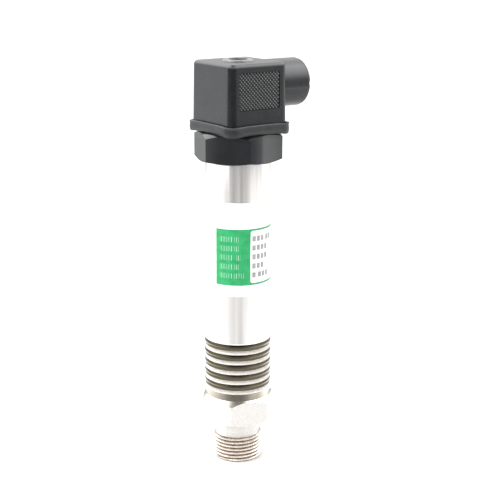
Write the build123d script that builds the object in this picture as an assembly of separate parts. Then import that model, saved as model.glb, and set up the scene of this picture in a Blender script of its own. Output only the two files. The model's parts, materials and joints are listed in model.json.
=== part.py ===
from build123d import *
import math
import os

os.makedirs("parts", exist_ok=True)

# Pressure transmitter for hot media, in millimetres.
# The origin is the centre of the fitting's thread end. +Z runs up the tube and +X along the
# cable barrel of the plug.

# Process fitting: thread end, neck and hexagon
thread_radius = 10.0
thread_length = 11.4
thread_chamfer = 1.0
relief_depth = 1.2
relief_width = 1.2
neck_step = 0.4
neck_height = 4.3
fitting_hex_flats = 27.0
fitting_hex_height = 11.2
fitting_hex_turn = 45.4
fitting_hex_margin = 0.6
fitting_under_chamfer_angle = 30.0
fitting_top_chamfer_angle = 38.0

# Process fitting: collar and cooling fins
collar_height = 3.2
fin_count = 5
fin_overhang = 0.5
fin_thickness = 2.7
fin_gap = 1.5
fin_core_radius = 8.5
fin_edge = 0.2

# Process fitting: pressure port and sensor chamber
port_radius = 4.0
port_depth = 14.0
port_cone_angle = 59.0
channel_radius = 1.5
chamber_floor_height = 4.0
pressure_space_depth = 0.7
core_seat_width = 1.9
ring_shoulder = 0.6
spigot_wall = 1.25
spigot_clearance = 0.05

# Tube and sticker
tube_radius = 13.0
tube_wall = 1.5
tube_length = 72.5
tube_mouth_chamfer = 0.4
label_glue = 0.05
label_thickness = 0.12
label_height = 37.4
label_lift = 20.0
label_start_angle = 90.0
label_sweep = 290.0

# Sensor core, its seal, diaphragm and retaining ring
core_clearance = 0.1
core_height = 11.5
core_groove_lift = 3.0
seal_groove_width = 2.4
seal_groove_depth = 1.3
seal_softness = 0.4
pin_radius = 0.45
pin_height = 2.0
pin_spread = 3.3
diaphragm_margin = 0.4
diaphragm_thickness = 0.15
diaphragm_wave = 0.2
diaphragm_wave_count = 4
diaphragm_rim = 1.0
ring_height = 2.5
ring_clearance = 0.03
ring_width = 3.6
spanner_hole_radius = 0.9
spanner_hole_depth = 1.5

# Circuit board and its holder
holder_clearance = 0.2
holder_height = 3.5
holder_floor = 1.0
window_margin = 0.9
board_margin = 1.5
board_thickness = 1.6
board_slot_clearance = 0.05
board_corner = 1.0
board_room = 5.8
main_chip_width = 9.0
main_chip_height = 7.0
main_chip_thickness = 1.8
square_chip_size = 8.0
square_chip_thickness = 1.4
small_chip_width = 5.0
small_chip_height = 4.0
small_chip_thickness = 1.6
small_chip_spread = 4.6
trimmer_size = 6.4
trimmer_depth = 4.4
trimmer_spread = 4.4
adjuster_radius = 1.1
adjuster_height = 0.9
chip_gap = 0.02
lead_radius = 0.4
lead_gap = 0.05
lead_lap = 5.0
lead_bend = 1.6

# Connector base: spigot, hexagon and platform
base_spigot_length = 9.0
base_floor_height = 3.6
base_hex_flats = 30.8
base_hex_height = 11.2
base_hex_turn = 11.0
base_hex_margin = 0.2
base_under_chamfer_angle = 20.0
base_top_chamfer_angle = 30.0
base_groove_lift = 3.4
platform_margin = 2.2
platform_height = 2.4
platform_corner = 2.0
insert_wall = 1.1
insert_length = 10.0
insert_clearance = 0.02
screw_tip_room = 1.0

# Contact blades
blade_spread = 7.6
blade_thickness = 0.8
blade_width = 6.3
blade_height = 7.2
blade_tip = 0.7
tail_width = 3.2
tail_length = 5.4
tail_hole_radius = 0.6
tail_room = 0.8
blade_slot_clearance = 0.02

# Profile gasket
gasket_thickness = 2.9
gasket_lip_height = 1.2
gasket_margin = 1.5
gasket_lip_gap = 0.15
gasket_platform_gap = 0.2
gasket_under_droop = 0.6
gasket_lip_droop = 0.9
gasket_edge = 0.4

# Plug housing
housing_back = 13.0
housing_front = 14.0
housing_half = 14.0
housing_corner = 3.0
housing_height = 24.1
housing_draft = 1.0
housing_wall = 1.8
housing_top_wall = 2.2
housing_top_rounding = 1.8
grip_width = 18.7
grip_height = 14.1
grip_depth = 0.6
grip_corner = 0.8
grip_drop = 3.3
grip_shift = -0.1
boss_radius = 6.4
boss_height = 0.6
boss_slope = 45.0
tower_wall = 1.0
tower_gap = 0.1
tower_room = 1.2
counterbore_radius = 3.8
counterbore_depth = 5.5
screw_hole_clearance = 0.2

# Cable barrel, grommet, washer and gland nut
barrel_radius = 9.5
barrel_drop = 0.1
barrel_reach = 13.5
barrel_rounding = 0.4
barrel_wall = 2.0
cable_hole_radius = 5.0
grommet_seat = 1.7
grommet_length = 4.0
grommet_hole_radius = 3.6
grommet_clearance = 0.1
grommet_edge = 0.5
washer_thickness = 0.8
washer_hole_radius = 4.7
gland_clearance = 0.08
gland_hole_radius = 4.5
gland_flange_step = 0.3
gland_flange_height = 1.0
gland_edge = 0.4
gland_slot_width = 1.6
gland_slot_depth = 0.6
gland_slot_count = 2

# Terminal block, sleeves and their screws
block_gap = 0.15
block_height = 9.35
block_lift = 0.15
block_floor = 0.85
block_corner = 1.5
sleeve_depth = 4.2
sleeve_width = 7.2
sleeve_height = 9.5
sleeve_clearance = 0.05
sleeve_slot_thickness = 0.9
sleeve_slot_width = 6.5
sleeve_slot_room = 0.4
block_slot_thickness = 1.2
block_slot_width = 6.9
saddle_width = 1.8
saddle_depth = 2.2
terminal_screw_radius = 1.2
terminal_screw_clearance = 0.02
terminal_screw_length = 2.8
terminal_head_radius = 2.0
terminal_head_height = 1.4
terminal_slot_width = 0.6
terminal_slot_depth = 0.6

# Centre screw and the seal under its head
screw_radius = 1.5
screw_nut_clearance = 0.05
screw_tip_height = 7.4
screw_head_clearance = 0.7
screw_head_height = 2.2
screw_slot_width = 0.9
screw_slot_depth = 1.1
screw_seal_clearance = 0.4
screw_seal_thickness = 0.9
screw_seal_gap = 0.1

# Levels up the fitting
relief_radius = thread_radius - relief_depth
neck_radius = thread_radius - neck_step
neck_bottom = thread_length + relief_width
hex_bottom = neck_bottom + neck_height
hex_top = hex_bottom + fitting_hex_height
fin_base = hex_top + collar_height
fin_pitch = fin_gap + fin_thickness
fin_top = fin_base + fin_count * fin_pitch
fin_radius = tube_radius + fin_overhang
tube_bore = tube_radius - tube_wall

# Radii inside the tube, from its bore inwards
spigot_radius = tube_bore - spigot_clearance
ring_bore_radius = spigot_radius - spigot_wall
ring_hole_radius = ring_bore_radius - ring_width
spanner_hole_spread = (ring_hole_radius + ring_bore_radius) / 2
chamber_radius = ring_bore_radius - ring_shoulder
core_radius = chamber_radius - core_clearance
pressure_space_radius = core_radius - core_seat_width
diaphragm_radius = pressure_space_radius - diaphragm_margin
base_recess_radius = math.hypot(blade_spread + blade_thickness / 2, tail_width / 2) + tail_room
platform_half = blade_spread + blade_thickness / 2 + platform_margin

# Levels of the sensor and the board
chamber_floor = fin_top + chamber_floor_height
core_bottom = chamber_floor + pressure_space_depth
core_top = core_bottom + core_height
spigot_top = core_top + ring_height
board_bottom = spigot_top + holder_floor
board_width = 2 * (tube_bore - board_margin)
pin_offset = board_thickness / 2 + lead_gap + pin_radius

# Levels of the base and the plug
tube_top = fin_top + tube_length
base_bottom = tube_top - base_spigot_length
base_recess_top = tube_top - base_floor_height
base_hex_top = tube_top + base_hex_height
platform_top = base_hex_top + platform_height
board_top = base_bottom - board_room
housing_bottom = base_hex_top + gasket_thickness
housing_top = housing_bottom + housing_height
blade_top = platform_top + blade_height
block_bottom = housing_bottom + block_lift
block_top = block_bottom + block_height
sleeve_bottom = block_bottom + block_floor
sleeve_top = sleeve_bottom + sleeve_height
barrel_axis = housing_top - barrel_drop - barrel_radius
barrel_end = housing_front + barrel_reach
barrel_bore = barrel_radius - barrel_wall
grommet_start = housing_front + grommet_seat
washer_start = grommet_start + grommet_length
gland_start = washer_start + washer_thickness
boss_top = housing_top + boss_height
counterbore_floor = boss_top - counterbore_depth
screw_head_bottom = counterbore_floor + screw_seal_thickness
screw_hole_radius = screw_radius + screw_hole_clearance
insert_radius = screw_radius + insert_wall
HEXAGON_SIDES = 6
CONTACT_ANGLES = [0, 90, 180]
EARTH_ANGLE = 270


def turned(points):
    """A solid turned about Z from its half outline, given as pairs of radius and height."""
    outline = Polyline([(radius, 0, height) for radius, height in points], close=True)
    return revolve(make_face(outline), Axis.Z)


def ring(inner, outer, bottom, height):
    """A plain ring about Z."""
    return turned([(inner, bottom), (outer, bottom), (outer, bottom + height), (inner, bottom + height)])


def rod(radius, bottom, height):
    """A plain rod on Z."""
    return Pos(0, 0, bottom) * extrude(Circle(radius), height)


def block(width, depth, height, bottom):
    """A rectangular block standing on a level, centred on Z."""
    return Pos(0, 0, bottom) * extrude(Rectangle(width, depth), height)


def along_x(shape, level):
    """A shape made about Z, laid along +X at a level."""
    return Pos(0, 0, level) * Rot(0, 90, 0) * shape


def plug_plan(inset, level, corner):
    """The plug's outline seen from above, drawn in by an inset."""
    back = housing_back - inset
    front = housing_front - inset
    half = housing_half - inset
    return Pos((front - back) / 2, 0, level) * RectangleRounded(back + front, 2 * half, corner)


def chamfered_hexagon(flats, bottom, height, turn, under, over):
    """A hexagonal prism with its corners turned off, under and over from a radius at an angle."""
    lower_face, lower_angle = under
    upper_face, upper_angle = over
    corner = flats / 2 / math.cos(math.pi / HEXAGON_SIDES)
    plan = RegularPolygon(corner, HEXAGON_SIDES)
    prism = Pos(0, 0, bottom) * Rot(0, 0, turn) * extrude(plan, height)
    top = bottom + height
    envelope = turned([
        (0, bottom),
        (lower_face, bottom),
        (corner, bottom + (corner - lower_face) * math.tan(math.radians(lower_angle))),
        (corner, top - (corner - upper_face) * math.tan(math.radians(upper_angle))),
        (upper_face, top),
        (0, top),
    ])
    return prism & envelope


def fitting_outline():
    """The fitting's half outline above the hexagon: collar, fins and the spigot in the tube."""
    points = [(0, hex_top), (tube_radius, hex_top), (tube_radius, fin_base), (fin_core_radius, fin_base)]
    for number in range(fin_count):
        under = fin_base + fin_gap + number * fin_pitch
        over = under + fin_thickness
        points += [
            (fin_core_radius, under),
            (fin_radius - fin_edge, under),
            (fin_radius, under + fin_edge),
            (fin_radius, over - fin_edge),
            (fin_radius - fin_edge, over),
        ]
        if number < fin_count - 1:
            points.append((fin_core_radius, over))
    points += [(spigot_radius, fin_top), (spigot_radius, spigot_top), (0, spigot_top)]
    return points


def process_fitting():
    """Thread end, neck, hexagon, collar, fins and spigot, with the port and the sensor chamber."""
    thread_end = turned([
        (0, 0),
        (thread_radius - thread_chamfer, 0),
        (thread_radius, thread_chamfer),
        (thread_radius, thread_length),
        (relief_radius, thread_length),
        (relief_radius, neck_bottom),
        (neck_radius, neck_bottom),
        (neck_radius, hex_bottom),
        (0, hex_bottom),
    ])
    hexagon = chamfered_hexagon(
        fitting_hex_flats,
        hex_bottom,
        fitting_hex_height,
        fitting_hex_turn,
        (fitting_hex_flats / 2 - fitting_hex_margin, fitting_under_chamfer_angle),
        (tube_radius, fitting_top_chamfer_angle),
    )
    cone_height = (port_radius - channel_radius) / math.tan(math.radians(port_cone_angle))
    bore = turned([
        (0, 0),
        (port_radius, 0),
        (port_radius, port_depth),
        (channel_radius, port_depth + cone_height),
        (channel_radius, chamber_floor),
        (pressure_space_radius, chamber_floor),
        (pressure_space_radius, core_bottom),
        (chamber_radius, core_bottom),
        (chamber_radius, core_top),
        (ring_bore_radius, core_top),
        (ring_bore_radius, spigot_top),
        (0, spigot_top),
    ])
    return thread_end + hexagon + turned(fitting_outline()) - bore


def tube():
    """The steel tube, welded on the top fin and opened slightly at its mouth."""
    return turned([
        (tube_bore, fin_top),
        (tube_radius, fin_top),
        (tube_radius, tube_top),
        (tube_bore + tube_mouth_chamfer, tube_top),
        (tube_bore, tube_top - tube_mouth_chamfer),
    ])


def rating_label():
    """The sticker, wrapped round most of the tube."""
    bottom = fin_top + label_lift
    inner = tube_radius + label_glue
    outer = inner + label_thickness
    outline = Polyline(
        [
            (inner, 0, bottom),
            (outer, 0, bottom),
            (outer, 0, bottom + label_height),
            (inner, 0, bottom + label_height),
        ],
        close=True,
    )
    return Rot(0, 0, label_start_angle) * revolve(make_face(outline), Axis.Z, label_sweep)


def isolating_diaphragm():
    """A thin disc pressed into rings, welded round its rim under the sensor core."""
    step = (diaphragm_radius - diaphragm_rim) / diaphragm_wave_count / 4
    upper = [(0, core_bottom)]
    for number in range(diaphragm_wave_count):
        start = (4 * number + 1) * step
        upper += [
            (start, core_bottom),
            (start + step, core_bottom - diaphragm_wave),
            (start + 2 * step, core_bottom - diaphragm_wave),
            (start + 3 * step, core_bottom),
        ]
    upper.append((diaphragm_radius, core_bottom))
    lower = [(radius, height - diaphragm_thickness) for radius, height in reversed(upper)]
    return turned(upper + lower)


def sensor_core():
    """The sealed sensor capsule: its grooved case and the lead pins of its header."""
    groove_bottom = core_bottom + core_groove_lift
    groove_radius = core_radius - seal_groove_depth
    case = turned([
        (0, core_bottom),
        (core_radius, core_bottom),
        (core_radius, groove_bottom),
        (groove_radius, groove_bottom),
        (groove_radius, groove_bottom + seal_groove_width),
        (core_radius, groove_bottom + seal_groove_width),
        (core_radius, core_top),
        (0, core_top),
    ])
    pins = [Pos(x, y, 0) * rod(pin_radius, core_top, pin_height) for x, y in pin_places()]
    return case + pins


def pin_places():
    """Where the header's four pins stand, beside the two faces of the board."""
    return [(x, y) for x in (-pin_spread, pin_spread) for y in (-pin_offset, pin_offset)]


def seal_ring(inner, outer, bottom, height):
    """A ring seal squeezed to a rounded rectangular section."""
    rounding = seal_softness * min(outer - inner, height)
    section = Pos((inner + outer) / 2, bottom + height / 2) * RectangleRounded(
        outer - inner, height, rounding
    )
    return revolve(Plane.XZ * section, Axis.Z)


def sensor_seal():
    """The seal in the sensor core's groove."""
    groove_radius = core_radius - seal_groove_depth
    return seal_ring(groove_radius, chamber_radius, core_bottom + core_groove_lift, seal_groove_width)


def retaining_ring():
    """The threaded ring over the sensor core, with two holes for a pin spanner."""
    outer = ring_bore_radius - ring_clearance
    body = ring(ring_hole_radius, outer, core_top, ring_height)
    for side in (-1, 1):
        hole = rod(spanner_hole_radius, spigot_top - spanner_hole_depth, spanner_hole_depth)
        body -= Pos(0, side * spanner_hole_spread, 0) * hole
    return body


def board_holder():
    """The plastic disc on the spigot: a slot for the board and a window for the leads."""
    disc = rod(tube_bore - holder_clearance, spigot_top, holder_height)
    slot_length = board_width + 2 * board_slot_clearance
    slot_width = board_thickness + 2 * board_slot_clearance
    window_length = 2 * (pin_spread + pin_radius + window_margin)
    window_width = 2 * (pin_offset + pin_radius + window_margin)
    disc -= block(slot_length, slot_width, holder_height, board_bottom)
    return disc - block(window_length, window_width, holder_height, spigot_top)


def amplifier_board():
    """The circuit board, standing in the holder's slot."""
    height = board_top - board_bottom
    face = Pos(0, board_bottom + height / 2) * Rectangle(board_width, height)
    face = chamfer(face.vertices(), board_corner)
    return extrude(Plane.XZ * face, board_thickness / 2, both=True)


def board_rows(heights):
    """The levels of rows of parts on one face of the board, evenly spaced between the leads."""
    room = board_top - board_bottom - 2 * lead_lap
    gap = (room - sum(heights)) / (len(heights) + 1)
    start = board_bottom + lead_lap
    return [start + (row + 1) * gap + sum(heights[:row]) for row in range(len(heights))]


def chip(width, height, thickness, x, face, bottom):
    """A flat part on the front face of the board, 1, or on its back face, -1."""
    y = face * (board_thickness / 2 + chip_gap + thickness / 2)
    return Pos(x, y, 0) * block(width, thickness, height, bottom)


def trimmer(x, bottom):
    """A square trimmer on the back of the board, with its adjuster on top."""
    y = -(board_thickness / 2 + chip_gap + trimmer_depth / 2)
    adjuster = Pos(x, y, 0) * rod(adjuster_radius, bottom + trimmer_size, adjuster_height)
    return chip(trimmer_size, trimmer_size, trimmer_depth, x, -1, bottom) + adjuster


def board_components():
    """One large chip on each face, a pair of small chips above it and two trimmers."""
    front_rows = board_rows([main_chip_height, small_chip_height])
    back_rows = board_rows([square_chip_size, small_chip_height, trimmer_size + adjuster_height])
    solids = [
        chip(main_chip_width, main_chip_height, main_chip_thickness, 0, 1, front_rows[0]),
        chip(square_chip_size, square_chip_size, square_chip_thickness, 0, -1, back_rows[0]),
    ]
    for side in (-1, 1):
        x = side * small_chip_spread
        for face, level in ((1, front_rows[1]), (-1, back_rows[1])):
            solids.append(chip(small_chip_width, small_chip_height, small_chip_thickness, x, face, level))
        solids.append(trimmer(side * trimmer_spread, back_rows[2]))
    return Compound(solids)


def lead(points):
    """A round lead along straight runs joined by arcs."""
    path = FilletPolyline(*points, radius=lead_bend) if len(points) > 2 else Line(*points)
    profile = Plane(origin=points[0], z_dir=(0, 0, 1)) * Circle(lead_radius)
    return sweep(profile, path)


def sensor_leads():
    """Four leads from the header's pins to the lower pads of the board."""
    start = core_top + pin_height
    end = board_bottom + lead_lap
    return Compound([lead([(x, y, start), (x, y, end)]) for x, y in pin_places()])


def output_leads():
    """Four leads from the upper pads of the board to the tails of the blades."""
    start = board_top - lead_lap
    tail_bottom = base_recess_top - tail_length
    end = tail_bottom + lead_lap / 2
    beside_board = board_thickness / 2 + lead_gap + lead_radius
    beside_tail = blade_spread - blade_thickness / 2 - lead_gap - lead_radius
    solids = []
    for side in (-1, 1):
        x = side * beside_tail
        solids.append(lead([(x, beside_board, start), (x, beside_board, end)]))
        near = (0, side * beside_board, board_top + lead_bend / 2)
        far = (0, side * beside_tail, tail_bottom - lead_bend)
        solids.append(lead([(0, near[1], start), near, far, (0, far[1], end)]))
    return Compound(solids)


def connector_base():
    """Threaded spigot, hexagon and platform moulded in one, with pockets for its metal parts."""
    groove_radius = spigot_radius - seal_groove_depth
    groove_top = tube_top - base_groove_lift + seal_groove_width
    spigot = turned([
        (0, base_bottom),
        (spigot_radius, base_bottom),
        (spigot_radius, tube_top - base_groove_lift),
        (groove_radius, tube_top - base_groove_lift),
        (groove_radius, groove_top),
        (spigot_radius, groove_top),
        (spigot_radius, tube_top),
        (0, tube_top),
    ])
    face = base_hex_flats / 2 - base_hex_margin
    body = spigot + chamfered_hexagon(
        base_hex_flats,
        tube_top,
        base_hex_height,
        base_hex_turn,
        (face, base_under_chamfer_angle),
        (face, base_top_chamfer_angle),
    )
    platform = Pos(0, 0, base_hex_top) * RectangleRounded(
        2 * platform_half, 2 * platform_half, platform_corner
    )
    body += extrude(platform, platform_height)
    recess = rod(base_recess_radius, base_bottom, base_recess_top - base_bottom)
    insert_hole = rod(insert_radius + insert_clearance, platform_top - insert_length, insert_length)
    tip_hole = rod(
        screw_radius + screw_hole_clearance,
        platform_top - insert_length - screw_tip_room,
        screw_tip_room,
    )
    body = body - recess - insert_hole - tip_hole
    for angle in CONTACT_ANGLES + [EARTH_ANGLE]:
        slot = block(
            blade_thickness + 2 * blade_slot_clearance,
            blade_width + 2 * blade_slot_clearance,
            platform_top - base_recess_top,
            base_recess_top,
        )
        body -= Rot(0, 0, angle) * Pos(blade_spread, 0, 0) * slot
    return body


def base_seal():
    """The ring seal in the groove of the base's spigot."""
    groove_radius = spigot_radius - seal_groove_depth
    return seal_ring(groove_radius, tube_bore, tube_top - base_groove_lift, seal_groove_width)


def blade(angle):
    """A flat contact blade with a chamfered tip and a narrower tail with its wire hole."""
    half = blade_width / 2
    half_tail = tail_width / 2
    tail_bottom = base_recess_top - tail_length
    outline = Polyline(
        [
            (half_tail, tail_bottom),
            (half_tail, base_recess_top),
            (half, base_recess_top),
            (half, blade_top - blade_tip),
            (half - blade_tip, blade_top),
            (blade_tip - half, blade_top),
            (-half, blade_top - blade_tip),
            (-half, base_recess_top),
            (-half_tail, base_recess_top),
            (-half_tail, tail_bottom),
        ],
        close=True,
    )
    face = make_face(outline) - Pos(0, tail_bottom + half_tail) * Circle(tail_hole_radius)
    plate = extrude(Plane.YZ * face, blade_thickness / 2, both=True)
    return Rot(0, 0, angle) * Pos(blade_spread, 0, 0) * plate


def base_insert():
    """The brass insert that takes the centre screw."""
    bottom = platform_top - insert_length
    return ring(screw_radius + screw_nut_clearance, insert_radius, bottom, insert_length)


def gasket_band():
    """A body turned about Z: level near the axis, bending down past the base's round face."""
    level_radius = base_hex_flats / 2
    reach = math.hypot(housing_front, housing_half) + gasket_margin
    under = base_hex_top
    over = housing_bottom + gasket_lip_height
    middle = (level_radius + reach) / 2
    lines = [
        Line((0, 0, under), (level_radius, 0, under)),
        Spline(
            (level_radius, 0, under),
            (middle, 0, under - gasket_under_droop / 4),
            (reach, 0, under - gasket_under_droop),
            tangents=[(1, 0, 0), (reach - middle, 0, -gasket_under_droop)],
        ),
        Line((reach, 0, under - gasket_under_droop), (reach, 0, over - gasket_lip_droop)),
        Spline(
            (reach, 0, over - gasket_lip_droop),
            (middle, 0, over - gasket_lip_droop / 4),
            (level_radius, 0, over),
            tangents=[(middle - reach, 0, gasket_lip_droop), (-1, 0, 0)],
        ),
        Line((level_radius, 0, over), (0, 0, over)),
        Line((0, 0, over), (0, 0, under)),
    ]
    return revolve(make_face(Curve() + lines), Axis.Z)


def profile_gasket():
    """The square seal: its underside and lip bend down where the corners pass the hexagon."""
    depth = gasket_under_droop + gasket_thickness + gasket_lip_height
    outer_plan = plug_plan(-gasket_margin, base_hex_top - gasket_under_droop, housing_corner + gasket_margin)
    body = extrude(outer_plan, depth)
    body = chamfer(body.faces().sort_by(Axis.Z)[0].edges(), gasket_edge) & gasket_band()
    seat = extrude(plug_plan(-gasket_lip_gap, housing_bottom, housing_corner), depth)
    opening_half = platform_half + gasket_platform_gap
    opening = RectangleRounded(2 * opening_half, 2 * opening_half, platform_corner)
    return body - seat - Pos(0, 0, base_hex_top - depth) * extrude(opening, 2 * depth)


def housing_shell():
    """The drafted square shell with rounded top edges, hollowed from below."""
    outer = extrude(plug_plan(0, housing_bottom, housing_corner), housing_height, taper=housing_draft)
    outer = fillet(outer.faces().sort_by(Axis.Z)[-1].edges(), housing_top_rounding)
    cavity = extrude(
        plug_plan(housing_wall, housing_bottom, housing_corner - housing_wall),
        housing_height - housing_top_wall,
        taper=housing_draft,
    )
    return outer - cavity


def grip_recesses():
    """The shallow finger grips sunk in the two wide faces."""
    middle = (housing_front - housing_back) / 2 + grip_shift
    level = housing_top - grip_drop - grip_height / 2
    draft_in = (level - housing_bottom) * math.tan(math.radians(housing_draft))
    floor = housing_half - draft_in - grip_depth
    plan = Plane.XZ * Pos(middle, level) * RectangleRounded(grip_width, grip_height, grip_corner)
    room = extrude(plan, 2 * grip_depth)
    return [Pos(0, -floor, 0) * room, Pos(0, floor + 2 * grip_depth, 0) * room]


def plug_housing():
    """The moulded plug shell with its grips, screw tower and cable barrel."""
    inner_end = housing_front - housing_wall
    barrel = rod(barrel_radius, inner_end, barrel_end - inner_end)
    barrel = fillet(barrel.faces().sort_by(Axis.Z)[-1].edges(), barrel_rounding)
    thread_bore = rod(barrel_bore, grommet_start, barrel_end - grommet_start)
    cable_hole = rod(cable_hole_radius, inner_end - housing_wall, grommet_start - inner_end + housing_wall)
    boss = Pos(0, 0, housing_top) * extrude(Circle(boss_radius), boss_height, taper=boss_slope)
    tower_bottom = block_top + tower_gap
    tower_step = sleeve_top + terminal_head_height + tower_room
    tower_top = housing_top - housing_top_wall / 2
    tower = rod(screw_hole_radius + tower_wall, tower_bottom, tower_top - tower_bottom)
    tower += rod(counterbore_radius + tower_wall, tower_step, tower_top - tower_step)
    body = housing_shell() + along_x(barrel, barrel_axis) + boss + tower
    body = body - along_x(thread_bore, barrel_axis) - along_x(cable_hole, barrel_axis)
    body -= rod(counterbore_radius, counterbore_floor, counterbore_depth)
    body -= rod(screw_hole_radius, tower_bottom, counterbore_floor - tower_bottom)
    for room in grip_recesses():
        body -= room
    return body


def terminal_block():
    """The insert of the plug: four pockets for the sleeves, with slots for the blades."""
    plan = plug_plan(housing_wall + block_gap, block_bottom, block_corner)
    body = extrude(plan, block_height, taper=housing_draft)
    body -= rod(screw_hole_radius, block_bottom, block_height)
    for angle in CONTACT_ANGLES + [EARTH_ANGLE]:
        pocket = block(
            sleeve_depth + 2 * sleeve_clearance,
            sleeve_width + 2 * sleeve_clearance,
            block_height,
            sleeve_bottom,
        )
        slot = block(block_slot_thickness, block_slot_width, block_floor, block_bottom)
        body -= Rot(0, 0, angle) * Pos(blade_spread, 0, 0) * (pocket + slot)
    return body


def contact_sleeve(angle):
    """A brass sleeve: a slot for the blade below, a wire saddle and a screw hole above."""
    slot_height = blade_top + sleeve_slot_room - sleeve_bottom
    screw_hole = terminal_screw_radius + terminal_screw_clearance
    body = block(sleeve_depth, sleeve_width, sleeve_height, sleeve_bottom)
    body -= block(sleeve_slot_thickness, sleeve_slot_width, slot_height, sleeve_bottom)
    body -= block(sleeve_depth, saddle_width, saddle_depth, sleeve_top - saddle_depth)
    body -= rod(screw_hole, sleeve_top - terminal_screw_length, terminal_screw_length)
    return Rot(0, 0, angle) * Pos(blade_spread, 0, 0) * body


def terminal_screw(angle):
    """A short slotted screw that clamps a wire in the saddle."""
    head = rod(terminal_head_radius, sleeve_top, terminal_head_height)
    head -= block(
        2 * terminal_head_radius,
        terminal_slot_width,
        terminal_slot_depth,
        sleeve_top + terminal_head_height - terminal_slot_depth,
    )
    shank = rod(terminal_screw_radius, sleeve_top - terminal_screw_length, terminal_screw_length)
    return Rot(0, 0, angle) * Pos(blade_spread, 0, 0) * (head + shank)


def cable_grommet():
    """The rubber ring between the barrel's seat and the washer."""
    outer = barrel_bore - grommet_clearance
    body = turned([
        (grommet_hole_radius, grommet_start),
        (outer, grommet_start),
        (outer, washer_start - grommet_edge),
        (outer - grommet_edge, washer_start),
        (grommet_hole_radius + grommet_edge, washer_start),
        (grommet_hole_radius, washer_start - grommet_edge),
    ])
    return along_x(body, barrel_axis)


def gland_washer():
    """The thin washer that lets the gland nut turn without twisting the grommet."""
    body = ring(washer_hole_radius, barrel_bore - grommet_clearance, washer_start, washer_thickness)
    return along_x(body, barrel_axis)


def gland_nut():
    """The hollow screw in the barrel's end, with a slotted rim."""
    thread = barrel_bore - gland_clearance
    flange = barrel_radius - gland_flange_step
    rim_end = barrel_end + gland_flange_height
    body = turned([
        (gland_hole_radius, gland_start),
        (thread, gland_start),
        (thread, barrel_end),
        (flange, barrel_end),
        (flange, rim_end - gland_edge),
        (flange - gland_edge, rim_end),
        (gland_hole_radius + gland_edge, rim_end),
        (gland_hole_radius, rim_end - gland_edge),
    ])
    slot = block(2 * barrel_radius, gland_slot_width, gland_slot_depth, rim_end - gland_slot_depth)
    for number in range(gland_slot_count):
        body -= Rot(0, 0, number * 180 / gland_slot_count) * slot
    return along_x(body, barrel_axis)


def centre_screw():
    """The long slotted screw that holds the plug on the base."""
    tip = platform_top - screw_tip_height
    head_radius = counterbore_radius - screw_head_clearance
    head_top = screw_head_bottom + screw_head_height
    head = rod(head_radius, screw_head_bottom, screw_head_height)
    head -= block(2 * head_radius, screw_slot_width, screw_slot_depth, head_top - screw_slot_depth)
    return head + rod(screw_radius, tip, screw_head_bottom - tip)


def screw_seal():
    """The ring seal on the counterbore's floor."""
    inner = screw_radius + screw_seal_gap
    outer = counterbore_radius - screw_seal_clearance
    return seal_ring(inner, outer, counterbore_floor, screw_seal_thickness)


nodes = {
    "process_fitting": process_fitting(),
    "tube": tube(),
    "rating_label": rating_label(),
    "isolating_diaphragm": isolating_diaphragm(),
    "sensor_core": sensor_core(),
    "sensor_seal": sensor_seal(),
    "retaining_ring": retaining_ring(),
    "board_holder": board_holder(),
    "amplifier_board": amplifier_board(),
    "board_components": board_components(),
    "sensor_leads": sensor_leads(),
    "output_leads": output_leads(),
    "connector_base": connector_base(),
    "base_seal": base_seal(),
    "base_insert": base_insert(),
    "contact_blades": Compound([blade(angle) for angle in CONTACT_ANGLES]),
    "earth_blade": blade(EARTH_ANGLE),
    "profile_gasket": profile_gasket(),
    "plug_housing": plug_housing(),
    "terminal_block": terminal_block(),
    "contact_sleeves": Compound([contact_sleeve(angle) for angle in CONTACT_ANGLES]),
    "earth_sleeve": contact_sleeve(EARTH_ANGLE),
    "terminal_screws": Compound([terminal_screw(angle) for angle in CONTACT_ANGLES + [EARTH_ANGLE]]),
    "cable_grommet": cable_grommet(),
    "gland_washer": gland_washer(),
    "gland_nut": gland_nut(),
    "centre_screw": centre_screw(),
    "screw_seal": screw_seal(),
}
for name, shape in nodes.items():
    export_step(shape, f"parts/{name}.step")
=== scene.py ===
import json
import math

import bmesh
import bpy
from mathutils import Matrix, Vector


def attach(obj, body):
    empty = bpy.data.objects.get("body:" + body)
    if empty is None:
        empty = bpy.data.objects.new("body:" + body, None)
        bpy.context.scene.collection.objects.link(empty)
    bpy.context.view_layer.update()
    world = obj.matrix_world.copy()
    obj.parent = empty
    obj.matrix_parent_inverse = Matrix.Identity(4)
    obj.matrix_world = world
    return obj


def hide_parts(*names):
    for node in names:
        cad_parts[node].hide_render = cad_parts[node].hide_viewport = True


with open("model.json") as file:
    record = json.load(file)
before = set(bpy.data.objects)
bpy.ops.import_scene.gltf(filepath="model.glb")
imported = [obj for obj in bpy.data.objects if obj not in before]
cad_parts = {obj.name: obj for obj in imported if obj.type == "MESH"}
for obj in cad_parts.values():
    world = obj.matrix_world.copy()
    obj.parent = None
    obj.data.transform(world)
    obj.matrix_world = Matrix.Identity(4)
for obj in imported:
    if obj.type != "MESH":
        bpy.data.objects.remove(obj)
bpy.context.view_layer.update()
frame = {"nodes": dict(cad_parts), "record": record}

cad_nodes = frame["nodes"]

# Sizes of the object are in millimetres, as in the CAD source, and MM turns them into metres.
MM = 0.001

# Points of a mesh that lie closer together than this, in metres, become one.
WELD_DISTANCE = 1e-7

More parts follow.
